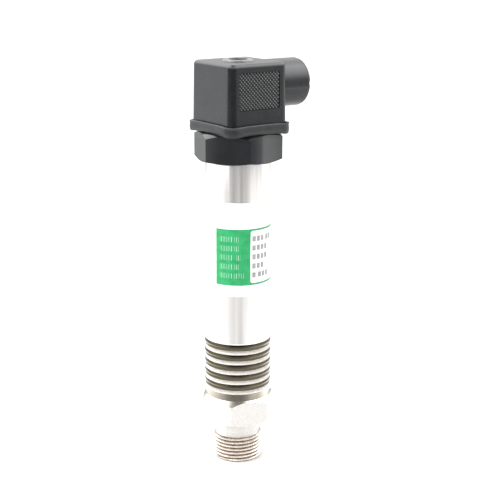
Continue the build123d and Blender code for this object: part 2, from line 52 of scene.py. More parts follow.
# Process fitting
THREAD_RADIUS = 10.0
THREAD_PITCH = 1.5
THREAD_LENGTH = 11.4
THREAD_CHAMFER = 1.0
THREAD_DEPTH = 0.54 * THREAD_PITCH
ROOT_DEPTH = 0.07 * THREAD_PITCH
CREST_SHARE = 1 / 16
ROOT_SHARE = 3 / 8
THREAD_PHASES = [
    0.0, CREST_SHARE, 0.17, 0.27, ROOT_SHARE, 0.43, 0.5, 0.57, 1 - ROOT_SHARE, 0.73, 0.83, 1 - CREST_SHARE,
]
RUN_OUT = 0.7
GROOVE_RADIUS = 9.25
CREST_RADIUS = 9.75
RELIEF_RADIUS = 8.8
NECK_RADIUS = 9.6
NECK_BOTTOM = 12.6
NECK_EDGE = 0.2
HEX_FLATS = 27.0
HEX_BOTTOM = 16.9
HEX_TOP = 28.1
HEX_TURN = 45.4
HEX_MARGIN = 0.6
HEX_CHAMFER = 2.5
HEX_LOW_SLOPE = math.tan(math.radians(30.0))
HEX_HIGH_SLOPE = math.tan(math.radians(38.0))
HEX_CORNER_ANGLE = 0.5
HEX_CORNER_HEIGHT = 0.02
TUBE_RADIUS = 13.0
COLLAR_TOP = 31.3
FIN_COUNT = 5
FIN_RADIUS = 13.5
FIN_THICKNESS = 2.7
FIN_GAP = 1.5
FIN_CORE_RADIUS = 8.5
FIN_EDGE = 0.2
FIN_EDGE_STEPS = 3
FIN_TOP = 52.3
SPIGOT_RADIUS = 11.45
SPIGOT_TOP = 71.0
RING_BORE_RADIUS = 10.2
CORE_TOP = 68.5
CHAMBER_RADIUS = 9.6
CORE_BOTTOM = 57.0
SPACE_RADIUS = 7.6
CHAMBER_FLOOR = 56.3
CHANNEL_RADIUS = 1.5
PORT_RADIUS = 4.0
PORT_DEPTH = 14.0
PORT_CONE = 1.5
RING_STEPS = 192

# Faces of the fitting farther out than this are on its outside.
OUTSIDE_RADIUS = PORT_RADIUS + 1

# How far a face looks up: 0 for an upright one, 1 for one that lies level
SLOPING_RISE = 0.3
LEVEL_RISE = 0.8

# Label on the tube, with angles about the tube in degrees
LABEL_RADIUS = 13.17
PRINT_THICKNESS = 0.03
PRINT_STEP = 2.0
GREEN_START = 195.2
GREEN_END = 256.6
GREEN_BOTTOM = 76.8
GREEN_TOP = 99.4
FRAME_LINE = 0.75
FIELD_END = 352.0
FIELD_CORNER = 1.2
FIELD_CORNER_STEPS = 8
ROW_TOP = 95.4
ROW_PITCH = 3.65
ROW_HEIGHT = 2.1
BLOCK_PITCH = 2.0
BLOCK_WIDTH = 1.5
WORD_GAP = 0.7
WORD_START = 203.4
VALUE_START = 260.4

# How many bars stand in place of each word, row by row: on the green field and on the white one
WORD_BLOCKS = [(4,), (4,), (3, 1), (4,), (5,)]
VALUE_BLOCKS = [(3, 2), (4,), (4,), (3,), (1, 3)]

# Plug with its finger grips, its barrel and the ring round its screw's hole
HOUSING_BACK = 13.0
HOUSING_FRONT = 14.0
HOUSING_HALF = 14.0
HOUSING_CORNER = 3.0
GRIP_MIDDLE = 0.4
GRIP_LEVEL = 152.65
GRIP_WIDTH = 18.7
GRIP_HEIGHT = 14.1
GRIP_FLOOR = 13.16
KNURL_HEIGHT = 0.5
KNURL_PITCH = 1.05
KNURL_LAND = 0.12
KNURL_BORDER = 0.12
KNURL_LIFT = 0.02
# How far up the knurl, as shares of its height, the painted shade between the points ends and the painted
# highlight on them is full
KNURL_SHADE_SHARE = 0.3
KNURL_HIGHLIGHT_SHARE = 0.8
KNURL_WELD = 1e-4
BARREL_LEVEL = 153.4
# Where the painted highlight on the ring round the screw's hole starts, how far it fades in, and the ring's
# roughness
RING_FOOT = 163.05
RING_BLEND = 0.15
RING_ROUGHNESS = 0.4

# Gasket: level over the middle of the base, with drooping corners whose lip curls back up
GASKET_BOTTOM = 136.0
GASKET_MARGIN = 1.5
GASKET_OPENING = 10.4
OPENING_CORNER = 2.0
LEAST_CORNER = 0.6
LEVEL_RADIUS = 15.0
BAND_DROOP = 1.45
LIP_HOLD = 0.35
CURL_START = 0.6
SIDE_STEPS = 12
CORNER_STEPS = 10

# How far the lip curls up at each corner, by whether its X and its Y are above zero
CORNER_CURLS = {(False, False): 0.0, (False, True): 0.45, (True, False): 1.2, (True, True): 0.6}

# The gasket's section: how far out from the plug's side, with None for the edge of the opening,
# how far up from the foot, and how much of the lip's curl it takes
GASKET_SECTION = [
    (None, 0.25, 0.0), (-1.2, 0.0, 0.0), (0.55, 0.0, 0.0), (0.95, 0.12, 0.0), (1.22, 0.45, 0.05),
    (1.38, 1.0, 0.15), (1.46, 1.7, 0.3), (1.47, 2.4, 0.5), (1.38, 3.0, 0.7), (1.34, 3.3, 0.85),
    (1.50, 3.62, 1.0), (1.46, 3.92, 1.0), (1.15, 4.09, 1.0), (0.75, 4.07, 1.0), (0.40, 3.95, 1.0),
    (0.20, 3.75, 0.95), (0.15, 3.4, 0.8), (0.15, 2.9, 0.6), (-1.2, 2.88, 0.3), (None, 2.7, 0.0),
]

# The camera of the photograph: its place in metres, its turns in degrees
CAMERA_PLACE = (-0.2557, -0.3638, 0.2060)
CAMERA_HEADING = 54.27
CAMERA_PITCH = -14.88
CAMERA_ROLL = 0.25
CAMERA_LENS = 82.8
CAMERA_SENSOR = 36.0

# Finishes with patches of tone. The grain and the patches are given as cells of noise in a metre.
FINISHES = {
    "tube_steel": dict(
        dark=(0.84, 0.81, 0.78), light=(0.96, 0.94, 0.92), rough=(0.08, 0.13), metallic=0.78,
        grain=5000.0, patch=700.0, bump=0.1, depth=2e-6, stretch=(1.0, 1.0, 0.02),
    ),
    "sensor_steel": dict(dark=(0.55, 0.55, 0.56), light=(0.75, 0.75, 0.76), rough=(0.25, 0.4), metallic=1.0),
    "label_film": dict(
        dark=(0.88, 0.88, 0.88), light=(0.94, 0.94, 0.93), rough=(0.30, 0.42),
        grain=3000.0, patch=90.0, bump=0.1, depth=5e-6,
    ),
    "green_print": dict(
        dark=(0.009, 0.28, 0.085), light=(0.022, 0.38, 0.135), rough=(0.28, 0.4),
        grain=3000.0, patch=400.0, bump=0.05, depth=3e-6,
    ),
    "white_print": dict(
        dark=(0.62, 0.80, 0.70), light=(0.76, 0.88, 0.80), rough=(0.3, 0.42),
        grain=3000.0, patch=400.0, bump=0.05, depth=3e-6,
    ),
    "grey_print": dict(
        dark=(0.24, 0.24, 0.24), light=(0.36, 0.36, 0.35), rough=(0.3, 0.42),
        grain=3000.0, patch=400.0, bump=0.05, depth=3e-6,
    ),
    "black_plastic": dict(
        dark=(0.006, 0.007, 0.008), light=(0.012, 0.013, 0.015), rough=(0.20, 0.32),
        grain=7000.0, patch=160.0, bump=0.3, depth=6e-6,
    ),
    "base_plastic": dict(
        dark=(0.006, 0.007, 0.008), light=(0.012, 0.013, 0.015), rough=(0.015, 0.03),
        grain=7000.0, patch=160.0, bump=0.03, depth=5e-7,
    ),
    "gasket_rubber": dict(
        dark=(0.010, 0.012, 0.012), light=(0.022, 0.025, 0.025), rough=(0.34, 0.50),
        grain=6000.0, patch=300.0, bump=0.4, depth=1.2e-5,
    ),
    "gland_plastic": dict(dark=(0.010, 0.010, 0.011), light=(0.022, 0.022, 0.024), rough=(0.4, 0.55)),
    "seal_rubber": dict(dark=(0.012, 0.012, 0.012), light=(0.03, 0.03, 0.03), rough=(0.5, 0.7)),
    "holder_plastic": dict(dark=(0.72, 0.69, 0.60), light=(0.84, 0.82, 0.74), rough=(0.4, 0.55)),
    "block_plastic": dict(dark=(0.014, 0.014, 0.016), light=(0.03, 0.03, 0.032), rough=(0.4, 0.55)),
    "board_laminate": dict(dark=(0.01, 0.10, 0.04), light=(0.02, 0.17, 0.07), rough=(0.25, 0.4)),
    "chip_plastic": dict(dark=(0.012, 0.012, 0.013), light=(0.03, 0.03, 0.03), rough=(0.4, 0.6)),
    "lead_cover": dict(dark=(0.35, 0.02, 0.02), light=(0.52, 0.05, 0.04), rough=(0.35, 0.5)),
    "brass": dict(dark=(0.60, 0.42, 0.16), light=(0.80, 0.62, 0.30), rough=(0.25, 0.4), metallic=1.0),
    "plated_brass": dict(dark=(0.60, 0.60, 0.58), light=(0.80, 0.80, 0.77), rough=(0.2, 0.35), metallic=1.0),
    "plated_screw": dict(dark=(0.50, 0.50, 0.49), light=(0.72, 0.72, 0.70), rough=(0.25, 0.4), metallic=1.0),
    "floor_paint": dict(
        dark=(0.88, 0.88, 0.88), light=(0.91, 0.91, 0.91), rough=(0.5, 0.6),
        grain=400.0, patch=6.0, bump=0.05, depth=1e-5,
    ),
}

# Finishes with the fine lines of the turning tool, spaced up the axis or, on faces, out from it
TURNED_FINISHES = {
    "turned_steel": dict(
        dark=(0.585, 0.565, 0.54), light=(0.675, 0.66, 0.635), rough=(0.20, 0.32), metallic=0.15,
        line_height=0.003, line_spacing=0.25,
    ),
    "fin_rim_metal": dict(
        dark=(0.085, 0.075, 0.050), light=(0.135, 0.122, 0.092), rough=(0.07, 0.11), metallic=1.0,
        line_height=0.004, line_spacing=0.35,
    ),
    "collar_metal": dict(
        dark=(0.145, 0.13, 0.105), light=(0.235, 0.215, 0.18), rough=(0.07, 0.11), metallic=1.0,
        line_height=0.004, line_spacing=0.35,
    ),
    "chamfer_metal": dict(
        dark=(0.40, 0.36, 0.31), light=(0.56, 0.52, 0.47), rough=(0.12, 0.2), metallic=1.0,
        line_height=0.004, line_spacing=0.3, outward=True,
    ),
    "fin_face_metal": dict(
        dark=(0.93, 0.90, 0.87), light=(0.99, 0.97, 0.95), rough=(0.3, 0.4), metallic=0.15,
        line_height=0.003, line_spacing=0.3, outward=True,
    ),
}

# The finishes on the process fitting, in the order of its material slots
FITTING_FINISHES = [
    "turned_steel", "fin_rim_metal", "fin_face_metal", "thread_metal", "collar_metal", "chamfer_metal",
]

# Tones of the studio that only gloss shows. Each list goes round by the angle from the camera's
# side, from -180 to 180 degrees, and is named after what shows it: the plug, the base's hexagon,
# the tube above the label, the tube below it, and the fins with the collar. The high tones lie
# above these and show in edges that look up.
PLUG_TONES = [
    (-180, 0.70), (-150, 0.72), (-132, 1.05), (-116, 1.34), (-104, 1.30), (-96, 0.80), (-84, 0.05),
    (-60, 0.02), (44, 0.02), (60, 0.58), (68, 0.70), (84, 0.72), (100, 0.95), (130, 0.95), (160, 0.75),
    (180, 0.70),
]
HEXAGON_TONES = [
    (-180, 0.56), (-138, 0.66), (-122, 1.9), (-100, 2.6), (-60, 1.6), (-28.4, 1.4), (-28.1, 0.27),
    (30, 0.26), (60, 0.35), (90, 0.45), (100, 1.3), (140, 0.8), (180, 0.56),
]
UPPER_TUBE_TONES = [
    (-180, 0.82), (-80, 0.82), (-64, 0.78), (-50, 0.68), (-38, 0.42), (-22, 0.26), (-16, 0.04),
    (-9, 0.12), (4, 0.30), (12, 0.02), (19, 0.28), (33, 0.34), (46, 0.78), (58, 0.90), (180, 0.84),
]
TUBE_TONES = [
    (-180, 0.84), (-70, 0.84), (-50, 0.82), (-32, 0.70), (-20, 0.60), (-12, 0.50), (-6, 0.57),
    (3, 0.56), (11, 0.47), (20, 0.60), (32, 0.72), (50, 0.84), (180, 0.86),
]
FIN_TONES = [
    (-180, 1.4), (-150, 2.0), (-130, 3.4), (-110, 4.1), (-90, 3.7), (-70, 2.9), (-50, 1.8), (-36, 0.92),
    (-22, 0.54), (-14, 0.40), (-8, 0.48), (3, 0.48), (11, 0.38), (20, 0.54), (34, 1.0), (50, 2.2),
    (66, 2.7), (80, 2.7), (92, 3.6), (110, 4.6), (130, 4.0), (150, 2.0), (180, 1.4),
]
HIGH_TONES = [
    (-180, 1.9), (-160, 2.4), (-137, 3.0), (-115, 4.8), (-90, 4.2), (-30, 2.6), (30, 2.6), (60, 3.2),
    (116, 4.6), (140, 2.6), (160, 1.9), (180, 1.9),
]
FLOOR_TONE = 0.25
SLOPE_TONE = 1.1
ZENITH_TONE = 0.28

# The hexagon's right side shows a sharp step, so a few degrees of its band have a finer list.
FACET_START = 92.0
FACET_END = 98.0
FACET_FADE = 1.0
FACET_TONES = [
    (92.0, 0.42), (93.65, 0.45), (93.85, 0.80), (94.05, 1.05), (94.10, 2.1), (94.5, 1.95), (95.0, 1.45),
    (98.0, 1.3),
]

# Bands of height, in degrees above the horizon: each tone comes in from the first to the second.
SLOPE_BAND = (-60.0, -52.0)
BANDS = [
    (-22.8, -22.2, FIN_TONES),
    (-19.9, -19.4, TUBE_TONES),
    (-15.0, -12.8, UPPER_TUBE_TONES),
    (-11.2, -10.8, HEXAGON_TONES),
    (-9.4, -8.9, PLUG_TONES),
    (12.0, 36.0, HIGH_TONES),
]
ZENITH_BAND = (68.0, 78.0)
STUDIO_STRENGTH = 1.25

FLOOR_RADIUS = 4.0


def polar(radius, angle, height):
    """A point in metres from a radius, an angle in degrees and a height, in millimetres."""
    turn = math.radians(angle)
    return Vector((radius * math.cos(turn), radius * math.sin(turn), height)) * MM


def new_object(name, mesh, body):
    """A piece of the object that rides on a body."""
    piece = bpy.data.objects.new(name, mesh)
    bpy.context.scene.collection.objects.link(piece)
    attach(piece, body)
    return piece


def mesh_from(name, points, faces, sharp_angle):
    """A clean mesh with smooth shading that breaks at sharp edges."""
    mesh = bpy.data.meshes.new(name)
    mesh.from_pydata([tuple(point) for point in points], [], faces)
    builder = bmesh.new()
    builder.from_mesh(mesh)
    bmesh.ops.remove_doubles(builder, verts=builder.verts, dist=WELD_DISTANCE)
    bmesh.ops.dissolve_degenerate(builder, edges=builder.edges, dist=WELD_DISTANCE)
    bmesh.ops.recalc_face_normals(builder, faces=builder.faces)
    builder.to_mesh(mesh)
    builder.free()
    mesh.polygons.foreach_set("use_smooth", [True] * len(mesh.polygons))
    mesh.set_sharp_from_angle(angle=math.radians(sharp_angle))
    return mesh


def bridge(faces, first, second, count):
    """Quads between two closed rings of points, given by the index of their first points."""
    for number in range(count):
        following = (number + 1) % count
        faces.append((first + number, first + following, second + following, second + number))


# Shader helpers


def shader(name, source=None):
    """A node material, new or copied from another one, with its tree and its shader."""
    if source is None:
        material = bpy.data.materials.new(name)
        material.use_nodes = True
    else:
        material = source.copy()
        material.name = name
    return material, material.node_tree, material.node_tree.nodes["Principled BSDF"]


def node(tree, kind, **values):
    """A node with its properties and its inputs set by name."""
    made = tree.nodes.new(kind)
    for key, value in values.items():
        if key in made.inputs:
            made.inputs[key].default_value = value
        else:
            setattr(made, key, value)
    return made


def object_place(tree, scale=(1.0, 1.0, 1.0)):
    """The place on the object, stretched by a scale along each axis."""
    place = node(tree, "ShaderNodeTexCoord")
    mapping = node(tree, "ShaderNodeMapping")
    mapping.inputs["Scale"].default_value = scale
    tree.links.new(place.outputs["Object"], mapping.inputs["Vector"])
    return mapping.outputs["Vector"]


def place_parts(tree):
    """The place on the object, taken apart into its X, Y and Z."""
    parts = node(tree, "ShaderNodeSeparateXYZ")
    tree.links.new(object_place(tree), parts.inputs["Vector"])
    return parts.outputs


def axis_distance(tree):
    """The distance from the object's upright axis."""
    length = node(tree, "ShaderNodeVectorMath", operation="LENGTH")
    tree.links.new(object_place(tree, (1.0, 1.0, 0.0)), length.inputs[0])
    return length.outputs["Value"]


def noise(tree, scale, detail=4.0):
    """Noise over the object."""
    made = node(tree, "ShaderNodeTexNoise", Scale=1.0, Detail=detail)
    tree.links.new(object_place(tree, scale), made.inputs["Vector"])
    return made.outputs["Fac"]


def between(tree, factor, low, high, low_in=0.3, high_in=0.7):
    """A factor brought from one range to another."""
    ranged = node(tree, "ShaderNodeMapRange")
    ranged.inputs["From Min"].default_value = low_in
    ranged.inputs["From Max"].default_value = high_in
    ranged.inputs["To Min"].default_value = low
    ranged.inputs["To Max"].default_value = high
    tree.links.new(factor, ranged.inputs["Value"])
    return ranged.outputs["Result"]


def blend_colours(tree, factor, first, second):
    """A mix of two colours, each a tuple or the output of a node."""
    mix = node(tree, "ShaderNodeMix", data_type="RGBA")
    tree.links.new(factor, mix.inputs["Factor"])
    for socket, colour in ((mix.inputs["A"], first), (mix.inputs["B"], second)):
        if isinstance(colour, tuple):
            socket.default_value = (*colour, 1.0)
        else:
            tree.links.new(colour, socket)
    return mix.outputs["Result"]


def patchy(tree, patches, dark, light):
    """A colour that goes from dark to light with a noise."""
    return blend_colours(tree, between(tree, patches, 0.0, 1.0), dark, light)


def add_bump(tree, surface, height, strength, distance):
    """Raises the surface by a height."""
    bump = node(tree, "ShaderNodeBump", Strength=strength, Distance=distance)
    tree.links.new(height, bump.inputs["Height"])
    tree.links.new(bump.outputs["Normal"], surface.inputs["Normal"])


def surface_of(name, dark, light, rough, metallic=0.0, grain=9000.0, patch=220.0, bump=0.25, depth=1e-5,
               stretch=(1.0, 1.0, 1.0)):
    """A material with patches of tone, a grain in its bump and a roughness that varies."""
    material, tree, surface = shader(name)
    surface.inputs["Metallic"].default_value = metallic
    patches = noise(tree, tuple(patch * axis for axis in stretch))
    grains = noise(tree, tuple(grain * axis for axis in stretch), detail=3.0)
    tree.links.new(patchy(tree, patches, dark, light), surface.inputs["Base Color"])
    tree.links.new(between(tree, grains, rough[0], rough[1]), surface.inputs["Roughness"])
    add_bump(tree, surface, grains, bump, depth)
    return material


def turned_metal(name, dark, light, rough, metallic, line_height, line_spacing, outward=False):
    """Metal with fine tool lines that run round the axis, spaced along it or out from it."""
    material, tree, surface = shader(name)
    surface.inputs["Metallic"].default_value = metallic
    lines_at = node(tree, "ShaderNodeCombineXYZ")
    along = axis_distance(tree) if outward else place_parts(tree)["Z"]
    tree.links.new(along, lines_at.inputs["X"])
    lines = node(tree, "ShaderNodeTexNoise", Scale=1.0 / (line_spacing * MM), Detail=2.0)
    tree.links.new(lines_at.outputs["Vector"], lines.inputs["Vector"])
    patches = noise(tree, (260.0, 260.0, 260.0))
    both = node(tree, "ShaderNodeMath", operation="MULTIPLY")
    tree.links.new(between(tree, lines.outputs["Fac"], 0.3, 1.0), both.inputs[0])
    tree.links.new(between(tree, patches, 0.6, 1.0), both.inputs[1])
    tone = blend_colours(tree, both.outputs["Value"], dark, light)
    tree.links.new(tone, surface.inputs["Base Color"])
    tree.links.new(between(tree, patches, rough[0], rough[1]), surface.inputs["Roughness"])
    add_bump(tree, surface, lines.outputs["Fac"], 0.6, line_height * MM)
    return material


def threaded_metal():
    """Metal that is light on the thread's crests, with painted shade: a darker brown down in its grooves."""
    material, tree, surface = shader("thread_metal")
    surface.inputs["Metallic"].default_value = 0.55
    height = between(tree, axis_distance(tree), 0.0, 1.0, GROOVE_RADIUS * MM, CREST_RADIUS * MM)
    patches = noise(tree, (500.0, 500.0, 900.0))
    # Painted shade: darker brown towards the groove radius, lighter out to the crests
    groove_shade = patchy(tree, patches, (0.20, 0.145, 0.105), (0.36, 0.28, 0.22))
    crest = patchy(tree, patches, (0.74, 0.67, 0.60), (0.92, 0.86, 0.80))
    tree.links.new(blend_colours(tree, height, groove_shade, crest), surface.inputs["Base Color"])
    tree.links.new(between(tree, patches, 0.2, 0.34), surface.inputs["Roughness"])
    add_bump(tree, surface, patches, 0.3, 4e-6)
    return material


def knurl_shade_and_highlight_material(plastic):
    """Black plastic with painted light: a paler painted highlight on the knurl's points, and dark painted
    shade down between them.
    """
    material, tree, surface = shader("knurl_plastic_painted_light", plastic)
    outward = node(tree, "ShaderNodeMath", operation="ABSOLUTE")
    tree.links.new(place_parts(tree)["Y"], outward.inputs[0])
    # Painted shade deep between the points, fading to a painted highlight on their tips
    shade_depth = GRIP_FLOOR + KNURL_SHADE_SHARE * KNURL_HEIGHT
    highlight_depth = GRIP_FLOOR + KNURL_HIGHLIGHT_SHARE * KNURL_HEIGHT
    rise = between(tree, outward.outputs["Value"], 0.0, 1.0, shade_depth * MM, highlight_depth * MM)
    patches = noise(tree, (900.0, 900.0, 900.0))
    point = patchy(tree, patches, (0.075, 0.078, 0.078), (0.14, 0.144, 0.144))
    tree.links.new(blend_colours(tree, rise, (0.003, 0.0035, 0.004), point), surface.inputs["Base Color"])
    return material


def housing_material(plastic):
    """Black plastic with a painted highlight: a paler grey on the raised ring round the screw's hole, which
    is also rougher.
    """
    material, tree, surface = shader("housing_plastic", plastic)
    plain = surface.inputs["Base Color"].links[0].from_socket
    rough = surface.inputs["Roughness"].links[0].from_socket
    # Above its foot the ring is painted a paler grey as a highlight
    ring = between(tree, place_parts(tree)["Z"], 0.0, 1.0, RING_FOOT * MM, (RING_FOOT + RING_BLEND) * MM)
    patches = noise(tree, (700.0, 700.0, 700.0))
    ring_highlight = patchy(tree, patches, (0.11, 0.107, 0.103), (0.22, 0.215, 0.208))
    tree.links.new(blend_colours(tree, ring, plain, ring_highlight), surface.inputs["Base Color"])
    ring_rough_mix = node(tree, "ShaderNodeMix", data_type="FLOAT")
    tree.links.new(ring, ring_rough_mix.inputs["Factor"])
    tree.links.new(rough, ring_rough_mix.inputs["A"])
    ring_rough_mix.inputs["B"].default_value = RING_ROUGHNESS
    tree.links.new(ring_rough_mix.outputs["Result"], surface.inputs["Roughness"])
    return material


materials = {name: surface_of(name, **finish) for name, finish in FINISHES.items()}
materials.update({name: turned_metal(name, **finish) for name, finish in TURNED_FINISHES.items()})
materials["thread_metal"] = threaded_metal()
materials["knurl_plastic_painted_light"] = knurl_shade_and_highlight_material(materials["black_plastic"])
materials["housing_plastic"] = housing_material(materials["black_plastic"])

# Every CAD node takes the finish of its slot, apart from two with a finish of their own; the housing's has a
# painted highlight on its ring.
for subpart in frame["record"]["subparts"]:
    cad_nodes[subpart["node"]].data.materials.clear()
    cad_nodes[subpart["node"]].data.materials.append(materials[subpart["material_slot"]])
cad_nodes["connector_base"].data.materials[0] = materials["base_plastic"]
cad_nodes["plug_housing"].data.materials[0] = materials["housing_plastic"]


# Process fitting, with its real thread

hex_spacing = 360 / 6
fitting_angles = sorted(
    {HEX_TURN + number * 360 / RING_STEPS for number in range(RING_STEPS)}
    | {HEX_TURN + side * hex_spacing - HEX_CORNER_ANGLE for side in range(6)}
    | {HEX_TURN + side * hex_spacing + HEX_CORNER_ANGLE for side in range(6)}
)
RING_POINTS = len(fitting_angles)


def hexagon_radius(angle):
    """How far out the hexagon's side lies at an angle, with its corners slightly worn round."""
    from_corner = (angle - HEX_TURN) % hex_spacing
    radius = HEX_FLATS / 2 / math.cos(math.radians(hex_spacing / 2 - from_corner))
    corner_radius = HEX_FLATS / 2 / math.cos(math.radians(hex_spacing / 2 - HEX_CORNER_ANGLE))
    return min(radius, corner_radius + HEX_CORNER_HEIGHT)


def hexagon_low(angle):
    """Where the hexagon's side starts above its lower chamfer."""
    return HEX_BOTTOM + (hexagon_radius(angle) - HEX_FLATS / 2 + HEX_MARGIN) * HEX_LOW_SLOPE


def hexagon_high(angle):
    """Where the hexagon's side ends below its upper chamfer."""
    return HEX_TOP - (hexagon_radius(angle) - TUBE_RADIUS) * HEX_HIGH_SLOPE


def thread_profile(phase):
    """The thread's radius at a share of its pitch: flat crests, sloping flanks, rounded roots."""
    away = abs((phase + 0.5) % 1 - 0.5)
    if away <= CREST_SHARE:
        return THREAD_RADIUS
    if away <= ROOT_SHARE:
        return THREAD_RADIUS - THREAD_DEPTH * (away - CREST_SHARE) / (ROOT_SHARE - CREST_SHARE)
    deeper = ROOT_DEPTH * math.sqrt(1 - ((0.5 - away) / (0.5 - ROOT_SHARE)) ** 2)
    return THREAD_RADIUS - THREAD_DEPTH - deeper


def thread_points():
    """Points along the helix: rows of the profile, cut off square at both ends of the thread."""
    turns = math.ceil(THREAD_LENGTH / THREAD_PITCH) + 1
    rows = []
    for turn in range(-1, turns):
        for phase in THREAD_PHASES:
            row = []
            for angle in fitting_angles + [fitting_angles[0] + 360]:
                along = (angle - fitting_angles[0]) / 360
                height = (turn + phase + along) * THREAD_PITCH
                radius = thread_profile(phase)
                radius = min(radius, THREAD_RADIUS - THREAD_CHAMFER + max(height, 0))
                radius = min(radius, RELIEF_RADIUS + max(THREAD_LENGTH - height, 0))
                height = min(max(height, 0), THREAD_LENGTH)
                row.append(polar(radius, angle, height))
            rows.append(row)
    return rows


def fitting_rings():
    """Rings of radius and height up the fitting's outside, then down through its bore."""
    rings = [
        (RELIEF_RADIUS, THREAD_LENGTH),
        (RELIEF_RADIUS, NECK_BOTTOM),
        (NECK_RADIUS - NECK_EDGE, NECK_BOTTOM),
        (NECK_RADIUS, NECK_BOTTOM + NECK_EDGE),
        (NECK_RADIUS, HEX_BOTTOM),
        (HEX_FLATS / 2 - HEX_MARGIN, HEX_BOTTOM),
        (hexagon_radius, hexagon_low),
        (hexagon_radius, hexagon_high),
        (TUBE_RADIUS, HEX_TOP),
        (TUBE_RADIUS, COLLAR_TOP - FIN_EDGE),
        (TUBE_RADIUS - FIN_EDGE, COLLAR_TOP),
        (FIN_CORE_RADIUS, COLLAR_TOP),
    ]
    leans = [math.radians(90 * turn / FIN_EDGE_STEPS) for turn in range(FIN_EDGE_STEPS + 1)]
    for number in range(FIN_COUNT):
        under = COLLAR_TOP + FIN_GAP + number * (FIN_GAP + FIN_THICKNESS)
        over = under + FIN_THICKNESS
        rings.append((FIN_CORE_RADIUS, under))
        for lean in leans:
            inset = FIN_EDGE * (1 - math.sin(lean))
            rings.append((FIN_RADIUS - inset, under + FIN_EDGE * (1 - math.cos(lean))))
        for lean in leans:
            inset = FIN_EDGE * (1 - math.cos(lean))
            rings.append((FIN_RADIUS - inset, over - FIN_EDGE * (1 - math.sin(lean))))
        if number < FIN_COUNT - 1:
            rings.append((FIN_CORE_RADIUS, over))
    rings += [
        (SPIGOT_RADIUS, FIN_TOP),
        (SPIGOT_RADIUS, SPIGOT_TOP),
        (RING_BORE_RADIUS, SPIGOT_TOP),
        (RING_BORE_RADIUS, CORE_TOP),
        (CHAMBER_RADIUS, CORE_TOP),
        (CHAMBER_RADIUS, CORE_BOTTOM),
        (SPACE_RADIUS, CORE_BOTTOM),
        (SPACE_RADIUS, CHAMBER_FLOOR),
        (CHANNEL_RADIUS, CHAMBER_FLOOR),
        (CHANNEL_RADIUS, PORT_DEPTH + PORT_CONE),
        (PORT_RADIUS, PORT_DEPTH),
        (PORT_RADIUS, 0.0),
        (THREAD_RADIUS - THREAD_CHAMFER, 0.0),
    ]
    return rings


def value_at(size, angle):
    """A size that is a number or depends on the angle."""
    return size(angle) if callable(size) else size


def fitting_finish(radius, height, rise):
    """The finish of a face of the fitting, from its place and from how far it looks up."""
    if height < THREAD_LENGTH - RUN_OUT and radius > OUTSIDE_RADIUS:
        return "thread_metal"
    if height > COLLAR_TOP - FIN_EDGE and radius > TUBE_RADIUS:
        return "fin_rim_metal" if abs(rise) < LEVEL_RISE else "fin_face_metal"
    if height > COLLAR_TOP:
        return "fin_face_metal"
    if height > HEX_TOP and radius > TUBE_RADIUS - FIN_EDGE and abs(rise) < SLOPING_RISE:
        return "collar_metal"
    if height > HEX_TOP - HEX_CHAMFER and radius > TUBE_RADIUS and rise > SLOPING_RISE:
        return "chamfer_metal"
    return "turned_steel"


def make_fitting():
    """The fitting as one closed mesh, each kind of surface with its own finish."""
    points = []
    faces = []
    rings = fitting_rings()
    for radius, height in rings:
        points += [polar(value_at(radius, angle), angle, value_at(height, angle)) for angle in fitting_angles]
    for number in range(len(rings) - 1):
        bridge(faces, number * RING_POINTS, (number + 1) * RING_POINTS, RING_POINTS)
    start = len(points)
    rows = thread_points()
    width = RING_POINTS + 1
    for row in rows:
        points += row
    for number in range(len(rows) - 1):
        for step in range(RING_POINTS):
            corner = start + number * width + step
            faces.append((corner, corner + 1, corner + width + 1, corner + width))
    mesh = mesh_from("process_fitting_threaded", points, faces, sharp_angle=32.0)
    for finish in FITTING_FINISHES:
        mesh.materials.append(materials[finish])
    for face in mesh.polygons:
        radius = math.hypot(face.center.x, face.center.y) / MM
        finish = fitting_finish(radius, face.center.z / MM, face.normal.z)
        face.material_index = FITTING_FINISHES.index(finish)
    piece = new_object("process_fitting_threaded", mesh, "root")
    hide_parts("process_fitting")


make_fitting()


# Print on the label: fields and bars of colour, and no words


def wrapped_plate(name, columns, finish):
    """A thin printed layer on the label. A column is an angle and the spans of height printed there."""
    inner = LABEL_RADIUS
    outer = LABEL_RADIUS + PRINT_THICKNESS
    points = []
    faces = []
    for (first, first_spans), (second, second_spans) in zip(columns, columns[1:]):
        for (low_a, high_a), (low_b, high_b) in zip(first_spans, second_spans):
            corner = len(points)
            for radius in (inner, outer):
                points += [
                    polar(radius, first, low_a),
                    polar(radius, second, low_b),
                    polar(radius, second, high_b),
                    polar(radius, first, high_a),
                ]
            faces.append((corner + 4, corner + 5, corner + 6, corner + 7))
            faces.append((corner + 3, corner + 2, corner + 1, corner))
            faces.append((corner, corner + 1, corner + 5, corner + 4))
            faces.append((corner + 2, corner + 3, corner + 7, corner + 6))
            if first == columns[0][0]:
                faces.append((corner, corner + 4, corner + 7, corner + 3))
            if second == columns[-1][0]:
                faces.append((corner + 1, corner + 2, corner + 6, corner + 5))
    mesh = mesh_from(name, points, faces, sharp_angle=40.0)
    mesh.materials.append(materials[finish])
    piece = new_object(name, mesh, "root")


def arc_angle(length):
    """The angle that a length along the label spans, in degrees."""
    return math.degrees(length / LABEL_RADIUS)


